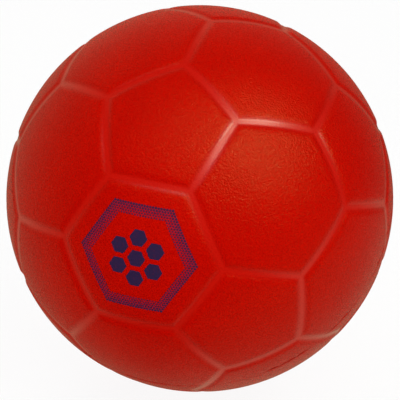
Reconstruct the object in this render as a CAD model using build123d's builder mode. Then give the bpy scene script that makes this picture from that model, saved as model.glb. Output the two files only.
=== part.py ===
from build123d import *
from itertools import combinations
from math import asin, atan, cos, degrees, pi, radians, sin, sqrt, tan
import os

# A moulded handball, junior size 1: a rubber cover of 32 raised panels, pressed in two mould halves over
# a sponge layer, a thread-wound carcass and an air bladder, with a needle valve.
# Millimetres. The origin is the ball's centre, the hexagon at -Y is the show panel, the valve looks
# along +Y out of the opposite hexagon, and +Z is up.

# Ball and panels
BALL_DIAMETER = 162.0
PANEL_DOME = 0.45
GROOVE_WIDTH = 1.2
GROOVE_DEPTH = 1.15
SHOULDER_WIDTH = 1.8
SHOULDER_DROP = 0.45

# Layers, from the outside in
SKIN_UNDER_GROOVE = 1.0
SPONGE_THICKNESS = 3.5
WINDING_THICKNESS = 0.7
BLADDER_WALL = 1.0
BOND_LINE = 0.1

# Valve housing
PATCH_DIAMETER = 40.0
PATCH_THICKNESS = 1.0
FLANGE_DIAMETER = 26.0
FLANGE_THICKNESS = 1.5
STEM_DIAMETER = 10.0
STEM_LENGTH = 21.0
STEM_TIP_BEVEL = 1.0
STEM_RIM_ROUND = 0.4
STEM_CLEARANCE = 0.15
WINDING_EYE_DIAMETER = 14.0
VALVE_SINK = 0.6
VALVE_LEAD_IN = 0.5

# Valve core, which pulls out of its housing, and the socket that guides a pump needle
CORE_DIAMETER = 6.0
CORE_LENGTH = 16.0
CORE_TIP_BEVEL = 0.8
CORE_RIB_COUNT = 4
CORE_RIB_WIDTH = 1.2
CORE_RIB_GAP = 1.4
CORE_RIB_HEIGHT = 0.4
CORE_HEAD_DIAMETER = 8.0
CORE_HEAD_THICKNESS = 1.2
CORE_HEAD_ROUND = 0.3
CORE_CLEARANCE = 0.08
CORE_SEAT_GAP = 0.05
NEEDLE_DIAMETER = 2.5
NEEDLE_CLEARANCE = 0.1
SOCKET_DEPTH = 7.0
SOCKET_FUNNEL = 0.8

ball_radius = BALL_DIAMETER / 2
groove_radius = ball_radius - GROOVE_DEPTH
cover_inside = groove_radius - SKIN_UNDER_GROOVE
sponge_outside = cover_inside - BOND_LINE
sponge_inside = sponge_outside - SPONGE_THICKNESS
winding_outside = sponge_inside - BOND_LINE
winding_inside = winding_outside - WINDING_THICKNESS
bladder_outside = winding_inside - BOND_LINE
bladder_inside = bladder_outside - BLADDER_WALL
patch_outside = bladder_inside - BOND_LINE
patch_inside = patch_outside - PATCH_THICKNESS
flange_outside = patch_inside - BOND_LINE

# The panels are those of a truncated icosahedron, leant about X so that a hexagon faces -Y.
# Twelve pentagon axes point at the corners of an icosahedron, and each of its faces is a hexagon.
GOLDEN = (1 + sqrt(5)) / 2
LEAN = degrees(atan(1 / GOLDEN**2))
pentagon_axes = [
    Vector(*corner).rotate(Axis.X, LEAN).normalized()
    for short in (1, -1)
    for tall in (GOLDEN, -GOLDEN)
    for corner in ((0, short, tall), (short, tall, 0), (tall, 0, short))
]
neighbour_angle = degrees(atan(2))


def are_neighbours(one, other):
    return abs(one.get_angle(other) - neighbour_angle) < 1


pentagon_planes = []
for axis in pentagon_axes:
    neighbour = next(other for other in pentagon_axes if are_neighbours(axis, other))
    pentagon_planes.append(Plane((0, 0, 0), x_dir=neighbour, z_dir=axis))

hexagon_planes = []
for one, two, three in combinations(pentagon_axes, 3):
    if are_neighbours(one, two) and are_neighbours(two, three) and are_neighbours(three, one):
        hexagon_planes.append(Plane((0, 0, 0), x_dir=one, z_dir=one + two + three))

# The mould parts halfway between two opposite pentagons, the upper one just above the show panel.
mould_axis = Vector(0, -1, GOLDEN).rotate(Axis.X, LEAN)
mould_plane = Plane((0, 0, 0), x_dir=(1, 0, 0), z_dir=mould_axis)
valve_plane = Plane((0, 0, 0), x_dir=(1, 0, 0), z_dir=(0, 1, 0))

# Each panel is domed on a crown sphere that touches the ball at the panel's middle and lies PANEL_DOME
# below it at a hexagon's corners.
panel_edge = 4 * ball_radius / sqrt(58 + 18 * sqrt(5))
panel_reach = asin(panel_edge / ball_radius)
corner_radius = ball_radius - PANEL_DOME
crown_height = (ball_radius**2 - corner_radius**2) / (2 * (ball_radius - corner_radius * cos(panel_reach)))
crown_radius = ball_radius - crown_height


def raised_panel(side_count, first_side):
    """A panel about +Z: a wedge of its crown sphere, walled half a groove inside the seam planes."""
    apothem = panel_edge / (2 * tan(pi / side_count))
    corner = panel_edge / (2 * sin(pi / side_count))
    seam_lean = atan(apothem / sqrt(ball_radius**2 - corner**2))
    with BuildPart() as panel:
        with Locations((0, 0, crown_height)):
            Sphere(crown_radius, rotation=(90, 0, 0))
        for side in range(side_count):
            around = radians(first_side) + 2 * pi * side / side_count
            outward = Vector(cos(around) * cos(seam_lean), sin(around) * cos(seam_lean), -sin(seam_lean))
            split(bisect_by=Plane(outward * (-GROOVE_WIDTH / 2), z_dir=outward), keep=Keep.BOTTOM)
        crown = panel.faces().filter_by(GeomType.SPHERE)[0]
        chamfer(crown.edges(), SHOULDER_WIDTH, SHOULDER_DROP, reference=crown)
    return panel.part


def reaches_front_half(plane):
    return plane.z_dir.get_angle(mould_axis) < 90 + degrees(panel_reach)


# A hexagon's sides face its pentagons, and a pentagon's corners point at the next pentagons.
hexagon_panel = raised_panel(6, first_side=0)
pentagon_panel = raised_panel(5, first_side=36)

# Cover, front half: the moulded rubber skin on the show panel's side
with BuildPart() as cover_front_half:
    Sphere(groove_radius)
    with Locations(*[plane.location for plane in hexagon_planes if reaches_front_half(plane)]):
        add(hexagon_panel)
    with Locations(*[plane.location for plane in pentagon_planes if reaches_front_half(plane)]):
        add(pentagon_panel)
    split(bisect_by=mould_plane, keep=Keep.TOP)
    Sphere(cover_inside, mode=Mode.SUBTRACT)

# Cover, rear half: half a turn about X lays the same pattern on the far side, and the valve stem passes it
stem_hole_radius = STEM_DIAMETER / 2 + STEM_CLEARANCE
with BuildPart() as cover_rear_half:
    add(cover_front_half.part, rotation=(180, 0, 0))
    with BuildSketch(valve_plane):
        Circle(stem_hole_radius)
    extrude(amount=BALL_DIAMETER, mode=Mode.SUBTRACT)
    hole_mouth = cover_rear_half.edges().filter_by(GeomType.CIRCLE).sort_by(Axis.Y)[-1]
    chamfer(hole_mouth, VALVE_LEAD_IN)

# Sponge, front half: the cellular rubber backing bonded under the skin
with BuildPart() as sponge_front_half:
    Sphere(sponge_outside)
    Sphere(sponge_inside, mode=Mode.SUBTRACT)
    split(bisect_by=mould_plane, keep=Keep.TOP)

# Sponge, rear half, with the valve stem's hole
with BuildPart() as sponge_rear_half:
    add(sponge_front_half.part, rotation=(180, 0, 0))
    with BuildSketch(valve_plane):
        Circle(stem_hole_radius)
    extrude(amount=BALL_DIAMETER, mode=Mode.SUBTRACT)

# Thread winding: the nylon carcass that holds the ball round, wound clear of the valve in an eye
with BuildPart() as thread_winding:
    Sphere(winding_outside)
    Sphere(winding_inside, mode=Mode.SUBTRACT)
    with BuildSketch(valve_plane):
        Circle(WINDING_EYE_DIAMETER / 2)
    extrude(amount=BALL_DIAMETER, mode=Mode.SUBTRACT)

# Bladder: the butyl air chamber
with BuildPart() as bladder:
    Sphere(bladder_outside)
    Sphere(bladder_inside, mode=Mode.SUBTRACT)
    with BuildSketch(valve_plane):
        Circle(stem_hole_radius)
    extrude(amount=BALL_DIAMETER, mode=Mode.SUBTRACT)

# Valve patch: a rubber disc that reinforces the bladder wall round the valve
with BuildPart() as valve_patch:
    Sphere(patch_outside)
    Sphere(patch_inside, mode=Mode.SUBTRACT)
    with BuildSketch(valve_plane):
        Circle(PATCH_DIAMETER / 2)
        Circle(stem_hole_radius, mode=Mode.SUBTRACT)
    extrude(amount=BALL_DIAMETER, mode=Mode.INTERSECT)

# Valve sleeve: the housing, with a domed flange bonded under the patch and a stem out to the cover
stem_face = ball_radius - VALVE_SINK
flange_drop = flange_outside - sqrt(flange_outside**2 - (FLANGE_DIAMETER / 2) ** 2)
flange_underside = flange_outside - flange_drop - FLANGE_THICKNESS
head_recess = CORE_HEAD_THICKNESS + CORE_SEAT_GAP
with BuildPart() as valve_sleeve:
    with BuildSketch(valve_plane.offset(flange_underside)):
        Circle(FLANGE_DIAMETER / 2)
    extrude(amount=BALL_DIAMETER)
    Sphere(flange_outside, mode=Mode.INTERSECT)
    with BuildSketch(valve_plane.offset(stem_face - STEM_LENGTH)):
        Circle(STEM_DIAMETER / 2)
    extrude(amount=STEM_LENGTH)
    stem_rims = valve_sleeve.edges().filter_by(GeomType.CIRCLE).sort_by(Axis.Y)
    chamfer(stem_rims[0], STEM_TIP_BEVEL)
    fillet(stem_rims[-1], STEM_RIM_ROUND)
    with Locations(valve_plane.offset(stem_face)):
        CounterBoreHole(
            radius=CORE_DIAMETER / 2 + CORE_CLEARANCE,
            counter_bore_radius=CORE_HEAD_DIAMETER / 2 + CORE_CLEARANCE,
            counter_bore_depth=head_recess,
        )

# Valve core: the self-sealing plug, seated by its head, with sealing ribs and a socket for the pump needle
rib_pitch = CORE_RIB_WIDTH + CORE_RIB_GAP
first_rib_gap = stem_face - CORE_HEAD_THICKNESS - rib_pitch
rib_gap_planes = [valve_plane.offset(first_rib_gap - rib * rib_pitch) for rib in range(CORE_RIB_COUNT)]
with BuildPart() as valve_core:
    with BuildSketch(valve_plane.offset(stem_face - CORE_HEAD_THICKNESS)):
        Circle(CORE_HEAD_DIAMETER / 2)
    extrude(amount=CORE_HEAD_THICKNESS)
    with BuildSketch(valve_plane.offset(stem_face - CORE_LENGTH)):
        Circle(CORE_DIAMETER / 2)
    extrude(amount=CORE_LENGTH)
    core_rims = valve_core.edges().filter_by(GeomType.CIRCLE).sort_by(Axis.Y)
    chamfer(core_rims[0], CORE_TIP_BEVEL)
    fillet(core_rims[-1], CORE_HEAD_ROUND)
    with BuildSketch(*rib_gap_planes):
        Circle(CORE_DIAMETER / 2)
        Circle(CORE_DIAMETER / 2 - CORE_RIB_HEIGHT, mode=Mode.SUBTRACT)
    extrude(amount=CORE_RIB_GAP, mode=Mode.SUBTRACT)
    with Locations(valve_plane.offset(stem_face)):
        Hole(NEEDLE_DIAMETER / 2 + NEEDLE_CLEARANCE, depth=SOCKET_DEPTH)
    socket_mouth = valve_core.edges().filter_by(GeomType.CIRCLE).group_by(Axis.Y)[-1].sort_by(SortBy.RADIUS)[0]
    chamfer(socket_mouth, SOCKET_FUNNEL)

os.makedirs("parts", exist_ok=True)
pieces = {
    "cover_front_half": cover_front_half,
    "cover_rear_half": cover_rear_half,
    "sponge_front_half": sponge_front_half,
    "sponge_rear_half": sponge_rear_half,
    "thread_winding": thread_winding,
    "bladder": bladder,
    "valve_patch": valve_patch,
    "valve_sleeve": valve_sleeve,
    "valve_core": valve_core,
}
for name, piece in pieces.items():
    piece.part.label = name
    export_step(piece.part, f"parts/{name}.step")
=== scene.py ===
import math

import bmesh
import bpy
from mathutils import Matrix, Vector, noise


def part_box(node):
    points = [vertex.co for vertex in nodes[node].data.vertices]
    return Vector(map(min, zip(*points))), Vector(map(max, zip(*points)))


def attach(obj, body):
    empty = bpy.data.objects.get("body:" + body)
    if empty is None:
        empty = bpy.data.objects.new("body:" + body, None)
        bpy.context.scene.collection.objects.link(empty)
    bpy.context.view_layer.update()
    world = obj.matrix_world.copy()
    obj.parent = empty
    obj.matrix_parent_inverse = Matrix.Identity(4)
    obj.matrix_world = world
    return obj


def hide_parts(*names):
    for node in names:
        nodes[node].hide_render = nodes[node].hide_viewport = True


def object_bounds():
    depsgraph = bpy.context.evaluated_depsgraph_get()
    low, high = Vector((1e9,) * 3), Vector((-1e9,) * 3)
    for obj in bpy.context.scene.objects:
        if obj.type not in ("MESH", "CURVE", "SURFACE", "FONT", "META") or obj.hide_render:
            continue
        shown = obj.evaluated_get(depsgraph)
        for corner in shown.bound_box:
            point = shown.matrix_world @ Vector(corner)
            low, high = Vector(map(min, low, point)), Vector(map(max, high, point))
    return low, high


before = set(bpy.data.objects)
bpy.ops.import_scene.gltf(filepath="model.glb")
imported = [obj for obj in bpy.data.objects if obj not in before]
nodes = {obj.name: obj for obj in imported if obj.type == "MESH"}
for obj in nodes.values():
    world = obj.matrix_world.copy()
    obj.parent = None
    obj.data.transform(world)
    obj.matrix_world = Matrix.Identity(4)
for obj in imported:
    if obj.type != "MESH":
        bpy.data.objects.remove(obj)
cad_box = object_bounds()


# Bladder and valve patch
# The air chamber is a thin sphere of black butyl rubber, cured in a mould and never seen from outside.
# The patch is a disc of the same rubber, cured onto its inside to reinforce the wall round the valve.
BUTYL_DARK = (0.012, 0.012, 0.012, 1)
BUTYL_LIGHT = (0.03, 0.029, 0.028, 1)
BUTYL_ROUGHNESS = (0.55, 0.75)
BUTYL_GRAIN_DEPTH = 0.0001
BLACK_GRAIN_SCALE = 2200.0
FINE_MOTTLE_SCALE = 160.0

# The bands of the mottle that a change of colour and a change of gloss run over.
COLOUR_BAND = (0.35, 0.65)
GLOSS_BAND = (0.3, 0.7)


def feed(tree, socket, value):
    """Links a socket's value from another socket, or sets it to a plain value."""
    if isinstance(value, bpy.types.NodeSocket):
        tree.links.new(value, socket)
    else:
        socket.default_value = value


def add_node(tree, kind, inputs=None, **settings):
    """Adds one node, with its settings and its named inputs."""
    node = tree.nodes.new(kind)
    for name, value in settings.items():
        setattr(node, name, value)
    for name, value in (inputs or {}).items():
        feed(tree, node.inputs[name], value)
    return node


def calc(tree, operation, *values):
    """One step of arithmetic on numbers or sockets."""
    node = add_node(tree, "ShaderNodeMath", operation=operation)
    for socket, value in zip(node.inputs, values):
        feed(tree, socket, value)
    return node.outputs[0]


def make_rubber_grain():
    """Moulded rubber's surface: a fine grain from the mould's blasting, and a slow mottle of the compound."""
    group = bpy.data.node_groups.new("rubber_grain", "ShaderNodeTree")
    for name in ("Grain Scale", "Mottle Scale"):
        group.interface.new_socket(name, in_out="INPUT", socket_type="NodeSocketFloat")
    for name in ("Grain", "Mottle"):
        group.interface.new_socket(name, in_out="OUTPUT", socket_type="NodeSocketFloat")
    given = add_node(group, "NodeGroupInput").outputs
    place = add_node(group, "ShaderNodeTexCoord").outputs["Object"]
    grain = add_node(group, "ShaderNodeTexNoise",
                     {"Vector": place, "Scale": given["Grain Scale"], "Detail": 3.0, "Roughness": 0.6})
    mottle = add_node(group, "ShaderNodeTexNoise",
                      {"Vector": place, "Scale": given["Mottle Scale"], "Detail": 4.0, "Roughness": 0.55})
    add_node(group, "NodeGroupOutput", {"Grain": grain.outputs[0], "Mottle": mottle.outputs[0]})
    return group


def new_material(name):
    """An empty material with its own Principled shader."""
    material = bpy.data.materials.new(name)
    material.use_nodes = True
    tree = material.node_tree
    tree.nodes.clear()
    shader = add_node(tree, "ShaderNodeBsdfPrincipled")
    add_node(tree, "ShaderNodeOutputMaterial", {"Surface": shader.outputs[0]})
    return material, tree, shader


def mix_colours(tree, factor, dark, light):
    """Mixes two colours by a mask. A Mix node has its colours at inputs 6 and 7 and at output 2."""
    node = add_node(tree, "ShaderNodeMix", data_type="RGBA")
    feed(tree, node.inputs[0], factor)
    feed(tree, node.inputs[6], dark)
    feed(tree, node.inputs[7], light)
    return node.outputs[2]


def spread(tree, value, low, high, to_low, to_high):
    """Stretches a band of a mask to a new range."""
    node = add_node(tree, "ShaderNodeMapRange", {"Value": value})
    for index, limit in enumerate((low, high, to_low, to_high), start=1):
        node.inputs[index].default_value = limit
    return node.outputs[0]


rubber_grain = make_rubber_grain()


def make_black_rubber(name, dark, light, roughness, grain_depth):
    """Black moulded rubber: mottled, with a fine dull grain."""
    material, tree, shader = new_material(name)
    surface = add_node(tree, "ShaderNodeGroup", node_tree=rubber_grain)
    surface.inputs["Grain Scale"].default_value = BLACK_GRAIN_SCALE
    surface.inputs["Mottle Scale"].default_value = FINE_MOTTLE_SCALE
    mottle = spread(tree, surface.outputs["Mottle"], *COLOUR_BAND, 0.0, 1.0)
    feed(tree, shader.inputs["Base Color"], mix_colours(tree, mottle, dark, light))
    feed(tree, shader.inputs["Roughness"], spread(tree, surface.outputs["Mottle"], *GLOSS_BAND, *roughness))
    bump = add_node(tree, "ShaderNodeBump",
                    {"Height": surface.outputs["Grain"], "Strength": 0.4, "Distance": grain_depth})
    feed(tree, shader.inputs["Normal"], bump.outputs[0])
    return material


def finish_node(name, material):
    """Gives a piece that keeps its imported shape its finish."""
    nodes[name].data.materials.clear()
    nodes[name].data.materials.append(material)


butyl = make_black_rubber("butyl", BUTYL_DARK, BUTYL_LIGHT, BUTYL_ROUGHNESS, BUTYL_GRAIN_DEPTH)
finish_node("bladder", butyl)
finish_node("valve_patch", butyl)


# Thread winding
# Nylon thread wound round the bladder in every direction and bound with latex: the ball's round carcass.
# It lies under the sponge and stops short of the valve in an eye.
THREAD_TURNS = ((0.4, 0.2, 0.0), (1.5, 0.3, 0.9), (0.7, 1.4, 2.1))
THREAD_SCALE = 420.0
THREAD_SHADE = (0.42, 0.38, 0.30, 1)
THREAD_PALE = (0.80, 0.78, 0.70, 1)
THREAD_RELIEF = 0.0003


def make_wound_thread():
    """Pale thread, crossing in three directions."""
    material, tree, shader = new_material("wound_thread")
    place = add_node(tree, "ShaderNodeTexCoord").outputs["Object"]
    strands = None
    for turn in THREAD_TURNS:
        turned = add_node(tree, "ShaderNodeMapping", {"Vector": place, "Rotation": turn})
        wave = add_node(tree, "ShaderNodeTexWave", {"Vector": turned.outputs[0], "Scale": THREAD_SCALE,
                                                    "Distortion": 1.5, "Detail": 2.0})
        layer = wave.outputs["Fac"]
        strands = layer if strands is None else calc(tree, "MAXIMUM", strands, layer)
    feed(tree, shader.inputs["Base Color"], mix_colours(tree, strands, THREAD_SHADE, THREAD_PALE))
    shader.inputs["Roughness"].default_value = 0.6
    bump = add_node(tree, "ShaderNodeBump", {"Height": strands, "Strength": 0.8, "Distance": THREAD_RELIEF})
    feed(tree, shader.inputs["Normal"], bump.outputs[0])
    return material


finish_node("thread_winding", make_wound_thread())


# Sponge halves
# Two cups of pale cellular rubber, a few millimetres thick, bonded between the winding and the skin.
# They make the cover soft to catch. Their open cells show only if the cover is cut.
SPONGE_CELL_SCALE = 900.0
SPONGE_CELL_BAND = (0.1, 0.5)
SPONGE_CELL_SHADE = (0.50, 0.42, 0.30, 1)
SPONGE_WALL = (0.78, 0.70, 0.56, 1)
SPONGE_RELIEF = 0.0004


def make_sponge():
    """Pale rubber with small sunk cells, darkened with painted shade."""
    material, tree, shader = new_material("cellular_sponge")
    place = add_node(tree, "ShaderNodeTexCoord").outputs["Object"]
    cells = add_node(tree, "ShaderNodeTexVoronoi", {"Vector": place, "Scale": SPONGE_CELL_SCALE})
    walls = spread(tree, cells.outputs["Distance"], *SPONGE_CELL_BAND, 0.0, 1.0)
    # The sunk cells get a darker colour: painted shade in the pores.
    feed(tree, shader.inputs["Base Color"], mix_colours(tree, walls, SPONGE_CELL_SHADE, SPONGE_WALL))
    shader.inputs["Roughness"].default_value = 0.9
    bump = add_node(tree, "ShaderNodeBump", {"Height": walls, "Strength": 0.7, "Distance": SPONGE_RELIEF})
    feed(tree, shader.inputs["Normal"], bump.outputs[0])
    return material


sponge = make_sponge()
finish_node("sponge_front_half", sponge)
finish_node("sponge_rear_half", sponge)


# Valve sleeve and core
# Both are moulded black rubber. The sleeve's flange is cured under the patch and its stem ends just under
# the cover's face. The core is a plug pressed into the sleeve, with a socket for the pump's needle.
VALVE_DARK = (0.010, 0.010, 0.011, 1)
VALVE_LIGHT = (0.022, 0.021, 0.021, 1)
VALVE_ROUGHNESS = (0.38, 0.55)
VALVE_GRAIN_DEPTH = 0.00006

valve_rubber = make_black_rubber("valve_rubber", VALVE_DARK, VALVE_LIGHT, VALVE_ROUGHNESS, VALVE_GRAIN_DEPTH)
finish_node("valve_sleeve", valve_rubber)
finish_node("valve_core", valve_rubber)


# Cover halves
# The skin is red rubber, pressed and cured in a two-part mould that gives it domed five- and six-sided
# panels with soft grooves between them. The halves meet at the parting line, halfway between two pentagons.
BALL_RADIUS = -cad_box[0].y
CROWN_RADIUS = 0.0797
GROOVE_DEPTH = 0.00070
GROOVE_FLOOR = 0.0009
GROOVE_REACH = 0.0034
GLOSS_REACH = 0.0028
SEAM_CROWDING = 2.0
PANEL_DETAIL = 5
PARTING_WIDTH = 0.0012
PARTING_DEPTH = 0.00030
BOND_LINE = 0.0001
COVER_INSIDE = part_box("sponge_front_half")[1].x + BOND_LINE
INSIDE_RINGS = 24
VALVE_HOLE_RADIUS = 0.00515
VALVE_MOUTH_ROUND = 0.0006
VALVE_MOUTH_SINK = 0.98 * VALVE_MOUTH_ROUND
VALVE_MOUTH_STEPS = 6
VALVE_HOLE_STEPS = 64
DRILL_INSIDE = 0.9 * BALL_RADIUS
DRILL_OUTSIDE = 1.1 * BALL_RADIUS
SHARP_ANGLE = math.radians(35)
LEAST_REACH = 1e-6
WELD_DISTANCE = 1e-6
CUT_TOLERANCE = 1e-7

# The parting line's crease opens and closes with a noise along it, and is never quite shut.
OPENING_MEAN = 0.55
OPENING_SWING = 1.6
OPENING_LEAST = 0.1
OPENING_SCALE = 110

RED_DEEP = (0.480, 0.0022, 0.0002, 1)
RED_BRIGHT = (0.520, 0.0030, 0.0003, 1)
RED_SPECKLE = (0.42, 0.0010, 0.0001, 1)
GROOVE_SHEEN_RED = (0.57, 0.0034, 0.0006, 1)
PARTING_RED = (0.30, 0.0010, 0.0003, 1)
SHEEN_TINT = (1.0, 0.88, 0.32, 1)
COVER_GRAIN_SCALE = 1150.0
COVER_MOTTLE_SCALE = 45.0
COVER_GRAIN_DEPTH = 0.00033
GROOVE_GRAIN = 0.6
GROOVE_FADE = 1.6
SPECKLE_BAND = (0.40, 0.60)
SPECKLE_SHARE = 0.8
GRAIN_BAND = (0.35, 0.65)
PANEL_ROUGHNESS = (0.25, 0.43)
GROOVE_ROUGHNESS = 0.36
PARTING_ROUGHNESS = 0.85
GLINT_ROUGHNESS = 0.14
GLINT_SCALE = 1500.0
GLINT_BAND = (0.58, 0.66)

# The mould's axis leans forward from +Z, so that a hexagon beside its upper pentagon faces -Y.
GOLDEN = (1 + math.sqrt(5)) / 2
MOULD_LEAN = math.pi / 2 - math.atan(GOLDEN) + math.atan(1 / GOLDEN**2)
ICOSPHERE_TURN = math.radians(18)
mould_axis = Vector((0, -math.sin(MOULD_LEAN), math.cos(MOULD_LEAN)))


def make_seam_polyhedron():
    """The truncated icosahedron whose edges are the seams: an icosahedron with its corners cut at a third."""
    bm = bmesh.new()
    bmesh.ops.create_icosphere(bm, subdivisions=1, radius=1.0)
    bmesh.ops.bevel(bm, geom=bm.verts[:], offset=100 / 3, offset_type="PERCENT", affect="VERTICES",
                    segments=1, clamp_overlap=False)
    bmesh.ops.scale(bm, verts=bm.verts, vec=Vector((1, 1, 1)) * (BALL_RADIUS / bm.verts[:][0].co.length))
    turn = Matrix.Rotation(MOULD_LEAN, 3, "X") @ Matrix.Rotation(ICOSPHERE_TURN, 3, "Z")
    bmesh.ops.rotate(bm, cent=(0, 0, 0), matrix=turn, verts=bm.verts)
    mesh = bpy.data.meshes.new("seam_polyhedron")
    bm.to_mesh(mesh)
    bm.free()
    return mesh


def vector_calc(tree, operation, *values, output="Vector"):
    """One step of vector arithmetic on sockets."""
    node = add_node(tree, "ShaderNodeVectorMath", operation=operation)
    for socket, value in zip(node.inputs, values):
        feed(tree, socket, value)
    return node.outputs[output]


def scaled(tree, vector, factor):
    """A vector times a number."""
    node = add_node(tree, "ShaderNodeVectorMath", {"Vector": vector, "Scale": factor}, operation="SCALE")
    return node.outputs[0]


def new_geometry_tree(name, **sockets):
    """A Geometry Nodes tree with a geometry in and out, and named inputs of the given kinds."""
    tree = bpy.data.node_groups.new(name, "GeometryNodeTree")
    tree.interface.new_socket("Geometry", in_out="INPUT", socket_type="NodeSocketGeometry")
    for label, kind in sockets.items():
        tree.interface.new_socket(label.replace("_", " "), in_out="INPUT", socket_type="NodeSocket" + kind)
    tree.interface.new_socket("Geometry", in_out="OUTPUT", socket_type="NodeSocketGeometry")
    return tree, add_node(tree, "NodeGroupInput").outputs


def end_tree(tree, geometry, material):
    """Every tree ends in plain geometry with its material."""
    real = add_node(tree, "GeometryNodeRealizeInstances", {"Geometry": geometry})
    painted = add_node(tree, "GeometryNodeSetMaterial", {"Geometry": real.outputs[0], "Material": material})
    add_node(tree, "NodeGroupOutput", {"Geometry": painted.outputs[0]})


def grow_mesh(tree, base, **values):
    """Runs a tree on a base mesh with its inputs set, and returns the result as a plain mesh."""
    grower = bpy.data.objects.new(base.name, base)
    bpy.context.scene.collection.objects.link(grower)
    modifier = grower.modifiers.new(tree.name, "NODES")
    modifier.node_group = tree
    for item in tree.interface.items_tree:
        label = item.name.replace(" ", "_")
        if item.in_out == "INPUT" and label in values:
            modifier[item.identifier] = values[label]
    bpy.context.view_layer.update()
    evaluated = grower.evaluated_get(bpy.context.evaluated_depsgraph_get())
    mesh = bpy.data.meshes.new_from_object(evaluated)
    bpy.data.objects.remove(grower)
    bpy.data.meshes.remove(base)
    return mesh


def make_panel_tree():
    """Subdivides each flat face, crowds its rows towards the seams, and lifts it to a dome with a groove."""
    tree, given = new_geometry_tree("moulded_panels", Detail="Int", Crowding="Float", Ball_Radius="Float",
                                    Crown_Radius="Float", Groove_Depth="Float", Groove_Floor="Float",
                                    Groove_Reach="Float", Gloss_Reach="Float", Rubber="Material")
    position = add_node(tree, "GeometryNodeInputPosition").outputs[0]
    parted = add_node(tree, "GeometryNodeSplitEdges", {"Mesh": given["Geometry"]})
    capture = add_node(tree, "GeometryNodeCaptureAttribute", {"Geometry": parted.outputs[0]}, domain="FACE")
    capture.capture_items.new("VECTOR", "Panel Centre")
    feed(tree, capture.inputs["Panel Centre"], position)
    centre = capture.outputs["Panel Centre"]
    fine = add_node(tree, "GeometryNodeSubdivideMesh",
                    {"Mesh": capture.outputs["Geometry"], "Level": given["Detail"]})

    to_seam = add_node(tree, "GeometryNodeProximity", {"Geometry": given["Geometry"]}, target_element="EDGES")
    apothem = add_node(tree, "GeometryNodeProximity",
                       {"Geometry": given["Geometry"], "Sample Position": centre}, target_element="EDGES")
    apothem = apothem.outputs["Distance"]
    inset = calc(tree, "DIVIDE", to_seam.outputs["Distance"], apothem)
    crowded = calc(tree, "POWER", inset, given["Crowding"])
    reach = calc(tree, "MAXIMUM", calc(tree, "SUBTRACT", 1.0, inset), LEAST_REACH)
    push = calc(tree, "DIVIDE", calc(tree, "SUBTRACT", 1.0, crowded), reach)
    from_centre = vector_calc(tree, "SUBTRACT", position, centre)
    flat = vector_calc(tree, "ADD", centre, scaled(tree, from_centre, push))
    direction = vector_calc(tree, "NORMALIZE", flat)

    # The dome is a sphere smaller than the ball, touching it at the panel's middle.
    lift = calc(tree, "SUBTRACT", given["Ball Radius"], given["Crown Radius"])
    axis = vector_calc(tree, "NORMALIZE", centre)
    along = vector_calc(tree, "DOT_PRODUCT", direction, axis, output="Value")
    across = calc(tree, "SUBTRACT", 1.0, calc(tree, "MULTIPLY", along, along))
    chord = calc(tree, "SUBTRACT", calc(tree, "POWER", given["Crown Radius"], 2.0),
                 calc(tree, "MULTIPLY", calc(tree, "POWER", lift, 2.0), across))
    dome = calc(tree, "ADD", calc(tree, "MULTIPLY", lift, along), calc(tree, "SQRT", chord))

    # The groove is a smooth trough from the shoulder down to a flat floor, which the mould leaves glossy.
    seam_distance = calc(tree, "MULTIPLY", apothem, crowded)
    shoulder = add_node(tree, "ShaderNodeMapRange",
                        {"Value": seam_distance, "From Min": given["Groove Floor"],
                         "From Max": given["Groove Reach"]}, interpolation_type="SMOOTHSTEP")
    floor_radius = calc(tree, "SUBTRACT", given["Ball Radius"], given["Groove Depth"])
    height = calc(tree, "SUBTRACT", dome, floor_radius)
    radius = calc(tree, "MULTIPLY_ADD", height, shoulder.outputs[0], floor_radius)
    grained = add_node(tree, "ShaderNodeMapRange", {"Value": seam_distance, "From Max": given["Gloss Reach"]},
                       interpolation_type="SMOOTHSTEP")
    marked = add_node(tree, "GeometryNodeStoreNamedAttribute", data_type="FLOAT", domain="POINT")
    feed(tree, marked.inputs["Geometry"], fine.outputs[0])
    feed(tree, marked.inputs["Name"], "groove")
    feed(tree, marked.inputs["Value"], calc(tree, "SUBTRACT", 1.0, grained.outputs[0]))
    moved = add_node(tree, "GeometryNodeSetPosition",
                     {"Geometry": marked.outputs[0], "Position": scaled(tree, direction, radius)})
    welded = add_node(tree, "GeometryNodeMergeByDistance",
                      {"Geometry": moved.outputs[0], "Distance": WELD_DISTANCE})
    smooth = add_node(tree, "GeometryNodeSetShadeSmooth", {"Geometry": welded.outputs[0]})
    end_tree(tree, smooth.outputs[0], given["Rubber"])
    return tree


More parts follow.
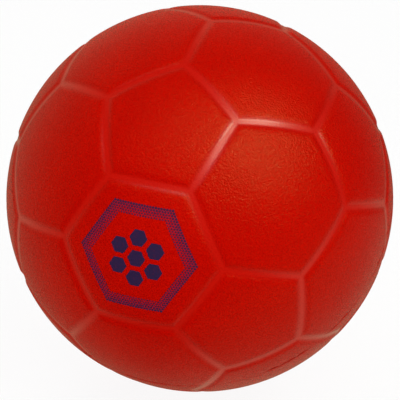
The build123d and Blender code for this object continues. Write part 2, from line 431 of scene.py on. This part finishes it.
def make_cover_rubber():
    """Red rubber: a satin grain with polished spots, glossy grooves with a painted sheen of paler red, and a
    dark, dull parting line.
    """
    material, tree, shader = new_material("cover_rubber")
    surface = add_node(tree, "ShaderNodeGroup", node_tree=rubber_grain)
    surface.inputs["Grain Scale"].default_value = COVER_GRAIN_SCALE
    surface.inputs["Mottle Scale"].default_value = COVER_MOTTLE_SCALE
    groove = add_node(tree, "ShaderNodeAttribute", attribute_name="groove").outputs["Fac"]
    parting = add_node(tree, "ShaderNodeAttribute", attribute_name="parting").outputs["Fac"]
    mottle = spread(tree, surface.outputs["Mottle"], *COLOUR_BAND, 0.0, 1.0)
    red = mix_colours(tree, mottle, RED_DEEP, RED_BRIGHT)
    speckle = spread(tree, surface.outputs["Grain"], *SPECKLE_BAND, 0.0, SPECKLE_SHARE)
    red = mix_colours(tree, speckle, red, RED_SPECKLE)
    # The grooves are painted a paler, lighter red: painted sheen for the light that their floors catch.
    red = mix_colours(tree, calc(tree, "POWER", groove, GROOVE_FADE), red, GROOVE_SHEEN_RED)
    red = mix_colours(tree, parting, red, PARTING_RED)
    feed(tree, shader.inputs["Base Color"], red)

    # The roughness follows the grain, then the groove, then small polished spots, then the parting line.
    grained = spread(tree, surface.outputs["Grain"], *GRAIN_BAND, *PANEL_ROUGHNESS)
    smooth = add_node(tree, "ShaderNodeMix", {"Factor": groove, "A": grained, "B": GROOVE_ROUGHNESS})
    place = add_node(tree, "ShaderNodeTexCoord").outputs["Object"]
    glints = add_node(tree, "ShaderNodeTexNoise", {"Vector": place, "Scale": GLINT_SCALE, "Detail": 0.0})
    polish = spread(tree, glints.outputs[0], *GLINT_BAND, 0.0, 1.0)
    glossy = add_node(tree, "ShaderNodeMix", {"Factor": polish, "A": smooth.outputs[0], "B": GLINT_ROUGHNESS})
    dulled = add_node(tree, "ShaderNodeMix",
                      {"Factor": parting, "A": glossy.outputs[0], "B": PARTING_ROUGHNESS})
    feed(tree, shader.inputs["Roughness"], dulled.outputs[0])
    flatter = spread(tree, groove, 0.0, 1.0, 1.0, GROOVE_GRAIN)
    relief = calc(tree, "MULTIPLY", surface.outputs["Grain"], flatter)
    bump = add_node(tree, "ShaderNodeBump",
                    {"Height": relief, "Strength": 1.0, "Distance": COVER_GRAIN_DEPTH})
    feed(tree, shader.inputs["Normal"], bump.outputs[0])
    shader.inputs["Specular IOR Level"].default_value = 0.34
    shader.inputs["Specular Tint"].default_value = SHEEN_TINT
    feed(tree, shader.inputs["Coat Weight"], groove)
    shader.inputs["Coat Roughness"].default_value = 0.32
    shader.inputs["Coat IOR"].default_value = 2.0
    return material


def cut_cover_half(whole, side):
    """Cuts the ball at the parting plane, sinks a broken crease there and closes the half as a shell."""
    bm = bmesh.new()
    bm.from_mesh(whole)
    for away in (PARTING_WIDTH, 0.0):
        bmesh.ops.bisect_plane(bm, geom=bm.verts[:] + bm.edges[:] + bm.faces[:], dist=CUT_TOLERANCE,
                               plane_co=mould_axis * away * side, plane_no=mould_axis * side,
                               clear_inner=away == 0.0)
    parting = bm.verts.layers.float.new("parting")
    rim = [edge for edge in bm.edges if edge.is_boundary]
    for vert in {vert for edge in rim for vert in edge.verts}:
        swing = OPENING_SWING * noise.noise(vert.co * OPENING_SCALE)
        opening = min(max(OPENING_MEAN + swing, OPENING_LEAST), 1.0)
        vert.co *= 1 - PARTING_DEPTH * opening / vert.co.length
        vert[parting] = opening
    for ring in range(INSIDE_RINGS):
        grown = bmesh.ops.extrude_edge_only(bm, edges=rim)["geom"]
        rim = [part for part in grown if isinstance(part, bmesh.types.BMEdge)]
        climb = ring * math.pi / 2 / INSIDE_RINGS
        for vert in {vert for edge in rim for vert in edge.verts}:
            outward = (vert.co - mould_axis * vert.co.dot(mould_axis)).normalized()
            vert.co = (outward * math.cos(climb) + mould_axis * side * math.sin(climb)) * COVER_INSIDE
    bmesh.ops.edgeloop_fill(bm, edges=rim)
    bmesh.ops.recalc_face_normals(bm, faces=bm.faces)
    mesh = bpy.data.meshes.new("cover_half")
    bm.to_mesh(mesh)
    bm.free()
    mesh.materials.append(cover_rubber)
    mesh.set_sharp_from_angle(angle=SHARP_ANGLE)
    return mesh


def bore_valve_hole(mesh):
    """Cuts the valve's hole through the panel that faces +Y, with a rounded mouth."""
    mouth = BALL_RADIUS - VALVE_HOLE_RADIUS**2 / (2 * CROWN_RADIUS) - VALVE_MOUTH_SINK
    profile = [(0.0, DRILL_INSIDE), (VALVE_HOLE_RADIUS, DRILL_INSIDE)]
    for step in range(VALVE_MOUTH_STEPS + 1):
        angle = math.pi / 2 * step / VALVE_MOUTH_STEPS
        profile.append((VALVE_HOLE_RADIUS + VALVE_MOUTH_ROUND * (1 - math.cos(angle)),
                        mouth + VALVE_MOUTH_ROUND * math.sin(angle)))
    profile += [(profile[-1][0], DRILL_OUTSIDE), (0.0, DRILL_OUTSIDE)]
    bm = bmesh.new()
    rim = [bm.verts.new((across, along, 0)) for across, along in profile]
    line = [bm.edges.new(pair) for pair in zip(rim, rim[1:])]
    bmesh.ops.spin(bm, geom=rim + line, cent=(0, 0, 0), axis=(0, 1, 0), angle=2 * math.pi,
                   steps=VALVE_HOLE_STEPS)
    bmesh.ops.remove_doubles(bm, verts=bm.verts, dist=CUT_TOLERANCE)
    bmesh.ops.recalc_face_normals(bm, faces=bm.faces)
    drill_mesh = bpy.data.meshes.new("valve_drill")
    bm.to_mesh(drill_mesh)
    bm.free()
    drill = bpy.data.objects.new("valve_drill", drill_mesh)
    blank = bpy.data.objects.new("valve_blank", mesh)
    for part in (drill, blank):
        bpy.context.scene.collection.objects.link(part)
    modifier = blank.modifiers.new("valve_hole", "BOOLEAN")
    modifier.operation = "DIFFERENCE"
    modifier.object = drill
    bpy.context.view_layer.update()
    bored = bpy.data.meshes.new_from_object(blank.evaluated_get(bpy.context.evaluated_depsgraph_get()))
    for part in (blank, drill):
        bpy.data.objects.remove(part)
    for used in (mesh, drill_mesh):
        bpy.data.meshes.remove(used)
    bored.set_sharp_from_angle(angle=SHARP_ANGLE)
    return bored


def add_piece(name, mesh, body, slot, *replaced):
    """Puts a finished mesh on its body, in place of the nodes it stands for. The slot is not used."""
    piece = bpy.data.objects.new(name, mesh)
    mesh.name = name
    bpy.context.scene.collection.objects.link(piece)
    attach(piece, body)
    for node in replaced:
        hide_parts(node)


cover_rubber = make_cover_rubber()
whole_cover = grow_mesh(make_panel_tree(), make_seam_polyhedron(), Detail=PANEL_DETAIL,
                        Crowding=SEAM_CROWDING, Ball_Radius=BALL_RADIUS, Crown_Radius=CROWN_RADIUS,
                        Groove_Depth=GROOVE_DEPTH, Groove_Floor=GROOVE_FLOOR, Groove_Reach=GROOVE_REACH,
                        Gloss_Reach=GLOSS_REACH, Rubber=cover_rubber)
add_piece("cover_front", cut_cover_half(whole_cover, 1), "ball", "cover", "cover_front_half")
add_piece("cover_rear", bore_valve_hole(cut_cover_half(whole_cover, -1)), "ball", "cover", "cover_rear_half")
bpy.data.meshes.remove(whole_cover)


# Panel print
# A navy design, pad-printed on the show panel: a honeycomb of seven cells inside a six-sided band of dots.
# The ink is a thin film on the rubber, worn a little by the grain under it.
DOT_PITCH = 0.0011
DOT_COUNT = 48
DOT_SIDES = 8
BAND_OUTER = 0.0205
BAND_INNER = 0.0160

# The dots' radii at the band's inner and outer edges, as parts of their pitch.
DOT_SMALLEST = 0.30
DOT_LARGEST = 0.46

CELL_RADIUS = 0.0036
CELL_SPACING = 0.0082
CELL_SIDES = 6
CELL_DETAIL = 4
HEX_RATIO = math.sqrt(3) / 2
INK_PROUD = 0.00003
INK_SUNK = 0.00012
INK_NAVY = (0.026, 0.013, 0.052, 1)
INK_WORN = (0.11, 0.008, 0.020, 1)
INK_GRAIN_SCALE = 1100.0
INK_GRAIN_DEPTH = 0.00003
INK_ROUGHNESS = (0.45, 0.60)
WORN_BAND = (0.55, 0.75)
WORN_SHARE = 0.5


def make_ink():
    """Navy ink that lets a little red through where the grain has worn it."""
    material, tree, shader = new_material("navy_ink")
    surface = add_node(tree, "ShaderNodeGroup", node_tree=rubber_grain)
    surface.inputs["Grain Scale"].default_value = INK_GRAIN_SCALE
    surface.inputs["Mottle Scale"].default_value = FINE_MOTTLE_SCALE
    worn = spread(tree, surface.outputs["Grain"], *WORN_BAND, 0.0, WORN_SHARE)
    feed(tree, shader.inputs["Base Color"], mix_colours(tree, worn, INK_NAVY, INK_WORN))
    gloss = spread(tree, surface.outputs["Mottle"], *GLOSS_BAND, *INK_ROUGHNESS)
    feed(tree, shader.inputs["Roughness"], gloss)
    bump = add_node(tree, "ShaderNodeBump",
                    {"Height": surface.outputs["Grain"], "Strength": 1.0, "Distance": INK_GRAIN_DEPTH})
    feed(tree, shader.inputs["Normal"], bump.outputs[0])
    shader.inputs["Specular IOR Level"].default_value = 0.35
    return material


def make_print_tree():
    """Lays dots in a six-sided band and cells in a honeycomb, and wraps them on the panel as a film."""
    tree, given = new_geometry_tree("panel_print", Dot_Pitch="Float", Dot_Count="Int", Band_Outer="Float",
                                    Band_Inner="Float", Cell_Radius="Float", Cell_Spacing="Float",
                                    Ball_Radius="Float", Crown_Radius="Float", Proud="Float", Sunk="Float",
                                    Ink="Material")
    place = add_node(tree, "ShaderNodeSeparateXYZ")
    feed(tree, place.inputs[0], add_node(tree, "GeometryNodeInputPosition").outputs[0])
    x, y, z = place.outputs

    # The dots stand in rows a little closer than their pitch, every other row shifted by half a pitch.
    row_height = calc(tree, "MULTIPLY", given["Dot Pitch"], HEX_RATIO)
    steps = calc(tree, "SUBTRACT", given["Dot Count"], 1.0)
    lattice = add_node(tree, "GeometryNodeMeshGrid",
                       {"Size X": calc(tree, "MULTIPLY", given["Dot Pitch"], steps),
                        "Size Y": calc(tree, "MULTIPLY", row_height, steps),
                        "Vertices X": given["Dot Count"], "Vertices Y": given["Dot Count"]})
    row = calc(tree, "ROUND", calc(tree, "DIVIDE", y, row_height))
    shift = calc(tree, "MULTIPLY", calc(tree, "FLOORED_MODULO", row, 2.0),
                 calc(tree, "MULTIPLY", given["Dot Pitch"], 0.5))
    shifted = add_node(tree, "GeometryNodeSetPosition", {"Geometry": lattice.outputs[0]})
    offset = add_node(tree, "ShaderNodeCombineXYZ", {"X": shift})
    feed(tree, shifted.inputs["Offset"], offset.outputs[0])
    across = calc(tree, "MULTIPLY_ADD", calc(tree, "ABSOLUTE", x), HEX_RATIO,
                  calc(tree, "MULTIPLY", calc(tree, "ABSOLUTE", y), 0.5))
    six_sided = calc(tree, "MAXIMUM", calc(tree, "ABSOLUTE", y), across)
    in_band = calc(tree, "MULTIPLY", calc(tree, "LESS_THAN", six_sided, given["Band Outer"]),
                   calc(tree, "GREATER_THAN", six_sided, given["Band Inner"]))
    fade = add_node(tree, "ShaderNodeMapRange",
                    {"Value": six_sided, "From Min": given["Band Inner"], "From Max": given["Band Outer"]})
    fade.inputs["To Min"].default_value = DOT_SMALLEST
    fade.inputs["To Max"].default_value = DOT_LARGEST
    dot = add_node(tree, "GeometryNodeMeshCircle", {"Radius": given["Dot Pitch"]}, fill_type="NGON")
    dot.inputs["Vertices"].default_value = DOT_SIDES
    dots = add_node(tree, "GeometryNodeInstanceOnPoints",
                    {"Points": shifted.outputs[0], "Selection": in_band, "Instance": dot.outputs[0],
                     "Scale": fade.outputs[0]})

    # One cell stands in the middle and six stand round it.
    cell = add_node(tree, "GeometryNodeMeshCircle", {"Radius": given["Cell Radius"]}, fill_type="NGON")
    cell.inputs["Vertices"].default_value = CELL_SIDES
    ring = add_node(tree, "GeometryNodeMeshCircle", {"Radius": given["Cell Spacing"]})
    ring.inputs["Vertices"].default_value = CELL_SIDES
    turned = add_node(tree, "GeometryNodeTransform", {"Geometry": ring.outputs[0]})
    turned.inputs["Rotation"].default_value = (0, 0, math.pi / CELL_SIDES)
    middle = add_node(tree, "GeometryNodeMeshLine")
    middle.inputs["Count"].default_value = 1
    spots = add_node(tree, "GeometryNodeJoinGeometry")
    for part in (turned, middle):
        tree.links.new(part.outputs[0], spots.inputs[0])
    cells = add_node(tree, "GeometryNodeInstanceOnPoints",
                     {"Points": spots.outputs[0], "Instance": cell.outputs[0]})
    cells = add_node(tree, "GeometryNodeRealizeInstances", {"Geometry": cells.outputs[0]})
    cells = add_node(tree, "GeometryNodeSubdivideMesh", {"Mesh": cells.outputs[0], "Level": CELL_DETAIL})

    # Each flat shape becomes a closed film: its lifted face, its rim and its underside.
    dots = add_node(tree, "GeometryNodeRealizeInstances", {"Geometry": dots.outputs[0]})
    flat = add_node(tree, "GeometryNodeJoinGeometry")
    for part in (dots, cells):
        tree.links.new(part.outputs[0], flat.inputs[0])
    thickness = calc(tree, "ADD", given["Proud"], given["Sunk"])
    lifted = add_node(tree, "GeometryNodeExtrudeMesh",
                      {"Mesh": flat.outputs[0], "Offset Scale": thickness, "Individual": False}, mode="FACES")
    underside = add_node(tree, "GeometryNodeFlipFaces", {"Mesh": flat.outputs[0]})
    film = add_node(tree, "GeometryNodeJoinGeometry")
    for part in (lifted, underside):
        tree.links.new(part.outputs[0], film.inputs[0])
    film = add_node(tree, "GeometryNodeMergeByDistance",
                    {"Geometry": film.outputs[0], "Distance": WELD_DISTANCE})

    # The film is wrapped on the dome, sunk into the rubber and proud of it by a hair.
    height = calc(tree, "SUBTRACT", z, given["Sunk"])
    radius = calc(tree, "ADD", given["Crown Radius"], height)
    squares = calc(tree, "ADD", calc(tree, "MULTIPLY", x, x), calc(tree, "MULTIPLY", y, y))
    depth = calc(tree, "SQRT", calc(tree, "SUBTRACT", calc(tree, "MULTIPLY", radius, radius), squares))
    lift = calc(tree, "SUBTRACT", given["Ball Radius"], given["Crown Radius"])
    forward = calc(tree, "MULTIPLY", calc(tree, "ADD", lift, depth), -1.0)
    on_dome = add_node(tree, "ShaderNodeCombineXYZ", {"X": x, "Y": forward, "Z": y})
    wrapped = add_node(tree, "GeometryNodeSetPosition",
                       {"Geometry": film.outputs[0], "Position": on_dome.outputs[0]})
    end_tree(tree, wrapped.outputs[0], given["Ink"])
    return tree


print_mesh = grow_mesh(make_print_tree(), bpy.data.meshes.new("print_base"), Dot_Pitch=DOT_PITCH,
                       Dot_Count=DOT_COUNT, Band_Outer=BAND_OUTER, Band_Inner=BAND_INNER,
                       Cell_Radius=CELL_RADIUS, Cell_Spacing=CELL_SPACING, Ball_Radius=BALL_RADIUS,
                       Crown_Radius=CROWN_RADIUS, Proud=INK_PROUD, Sunk=INK_SUNK, Ink=make_ink())
add_piece("panel_print", print_mesh, "ball", "ink")


# Floor, light and camera
# A pale floor against white, with a key, a flash, a window, a skylight and a table that show in the gloss,
# and suns that stand for the room's light. The camera stands where the photograph was taken.
CAMERA_RIGHT = Vector((0.949, 0.298, 0.104)).normalized()
CAMERA_BACK = Vector((0.251, -0.912, 0.324)).normalized()
CAMERA_UP = CAMERA_BACK.cross(CAMERA_RIGHT).normalized()
CAMERA_DISTANCE = 9.0 * BALL_RADIUS
CAMERA_LENS = 155.8
CAMERA_DROP = 0.0006
SENSOR_WIDTH = 36.0
FLOOR_SIZE = 8.0
FLOOR_GREY = (0.8, 0.8, 0.8, 1)
FLOOR_WHITENESS = 0.92
BACKDROP_LIGHT = 0.29
ROOM_LIGHT = 0.012
BACKDROP_BAND = (0.2, 0.95)
BACKDROP_SIDE = (0.10 * CAMERA_UP - 0.36 * CAMERA_RIGHT - CAMERA_BACK).normalized()
WARM_WHITE = (1.0, 0.93, 0.75)
SKY_WHITE = (0.82, 0.88, 1.0)
TABLE_WHITE = (1.0, 0.86, 0.62)
BACKDROP_WHITE = (1.0, 0.92, 0.60)


def make_pale_floor():
    """A pale floor that keeps the shadow, and that the camera sees nearly white."""
    material, tree, shader = new_material("pale_floor")
    shader.inputs["Base Color"].default_value = FLOOR_GREY
    shader.inputs["Roughness"].default_value = 0.9
    shader.inputs["Specular IOR Level"].default_value = 0.0
    white = add_node(tree, "ShaderNodeEmission")
    path = add_node(tree, "ShaderNodeLightPath")
    whiteness = calc(tree, "MULTIPLY", path.outputs["Is Camera Ray"], FLOOR_WHITENESS)
    mixed = add_node(tree, "ShaderNodeMixShader", {"Fac": whiteness})
    tree.links.new(shader.outputs[0], mixed.inputs[1])
    tree.links.new(white.outputs[0], mixed.inputs[2])
    tree.links.new(mixed.outputs[0], tree.nodes["Material Output"].inputs["Surface"])
    return material


def make_studio():
    """White to the camera. The ball sees a pale, warm backdrop behind it and a dim room in front."""
    world = bpy.data.worlds.new("studio")
    world.cycles.sampling_method = "NONE"
    world.use_nodes = True
    tree = world.node_tree
    path = add_node(tree, "ShaderNodeLightPath")
    ray = add_node(tree, "ShaderNodeTexCoord").outputs["Generated"]
    behind = vector_calc(tree, "DOT_PRODUCT", ray, BACKDROP_SIDE, output="Value")
    room = spread(tree, behind, *BACKDROP_BAND, ROOM_LIGHT, BACKDROP_LIGHT)
    light = add_node(tree, "ShaderNodeMix", {"Factor": path.outputs["Is Camera Ray"], "A": room, "B": 1.0})
    feed(tree, tree.nodes["Background"].inputs["Strength"], light.outputs[0])
    tint = mix_colours(tree, path.outputs["Is Camera Ray"], (*BACKDROP_WHITE, 1), (1, 1, 1, 1))
    feed(tree, tree.nodes["Background"].inputs["Color"], tint)
    return world


def add_lamp(name, kind, right, up, back, energy):
    """A lamp placed by how far it stands right of, above and towards the camera from the ball."""
    lamp = bpy.data.objects.new(name, bpy.data.lights.new(name, kind))
    lamp.data.energy = energy
    lamp.location = CAMERA_RIGHT * right + CAMERA_UP * up + CAMERA_BACK * back
    lamp.rotation_euler = lamp.location.to_track_quat("Z", "Y").to_euler()
    scene.collection.objects.link(lamp)
    return lamp


scene = bpy.context.scene
scene.view_settings.view_transform = "Standard"
scene.world = make_studio()
bpy.ops.mesh.primitive_plane_add(size=FLOOR_SIZE, location=(0, 0, cad_box[0].z))
floor = bpy.context.object
floor.name = "floor"
floor.data.materials.append(make_pale_floor())
floor.visible_diffuse = False
floor.visible_glossy = False
floor.visible_shadow = False

# Each row gives a lamp's place in metres, its power in watts, its width and height in metres, and its colour.
for name, right, up, back, energy, size, height, colour in (
        ("key", 0.57, 0.52, 0.76, 2.8, 0.5, 0.5, WARM_WHITE),
        ("window", 0.07, 0.55, 0.92, 0.58, 0.2, 0.2, WARM_WHITE),
        ("flash", 0.58, 0.47, 0.77, 0.5, 0.12, 0.12, WARM_WHITE),
        ("skylight", -0.20, 0.57, 0.89, 0.42, 0.76, 0.12, SKY_WHITE),
        ("table", 0.40, -0.46, -0.26, 0.95, 1.4, 1.2, TABLE_WHITE)):
    panel = add_lamp(name, "AREA", right, up, back, energy)
    panel.data.shape = "ELLIPSE"
    panel.data.size = size
    panel.data.size_y = height
    panel.data.color = colour

# Each row gives a sun's direction, its strength and its width in degrees. Gloss doesn't show the suns.
for name, right, up, back, energy, width in (
        ("front_sky", -0.14, 0.02, 0.99, 2.80, 170),
        ("rear_sky", 0.0, -0.10, -0.99, 1.75, 170),
        ("back_light", 0.0, 0.60, -0.80, 2.0, 25)):
    sky = add_lamp(name, "SUN", right, up, back, energy)
    sky.data.angle = math.radians(width)
    sky.visible_glossy = False
    sky.data.cycles.use_multiple_importance_sampling = False

camera = bpy.data.objects.new("camera", bpy.data.cameras.new("camera"))
camera.data.lens = CAMERA_LENS
camera.data.sensor_width = SENSOR_WIDTH
camera.data.clip_start = 0.01
camera.location = CAMERA_BACK * CAMERA_DISTANCE - CAMERA_UP * CAMERA_DROP
camera.rotation_euler = Matrix((CAMERA_RIGHT, CAMERA_UP, CAMERA_BACK)).transposed().to_euler()
scene.collection.objects.link(camera)
scene.camera = camera
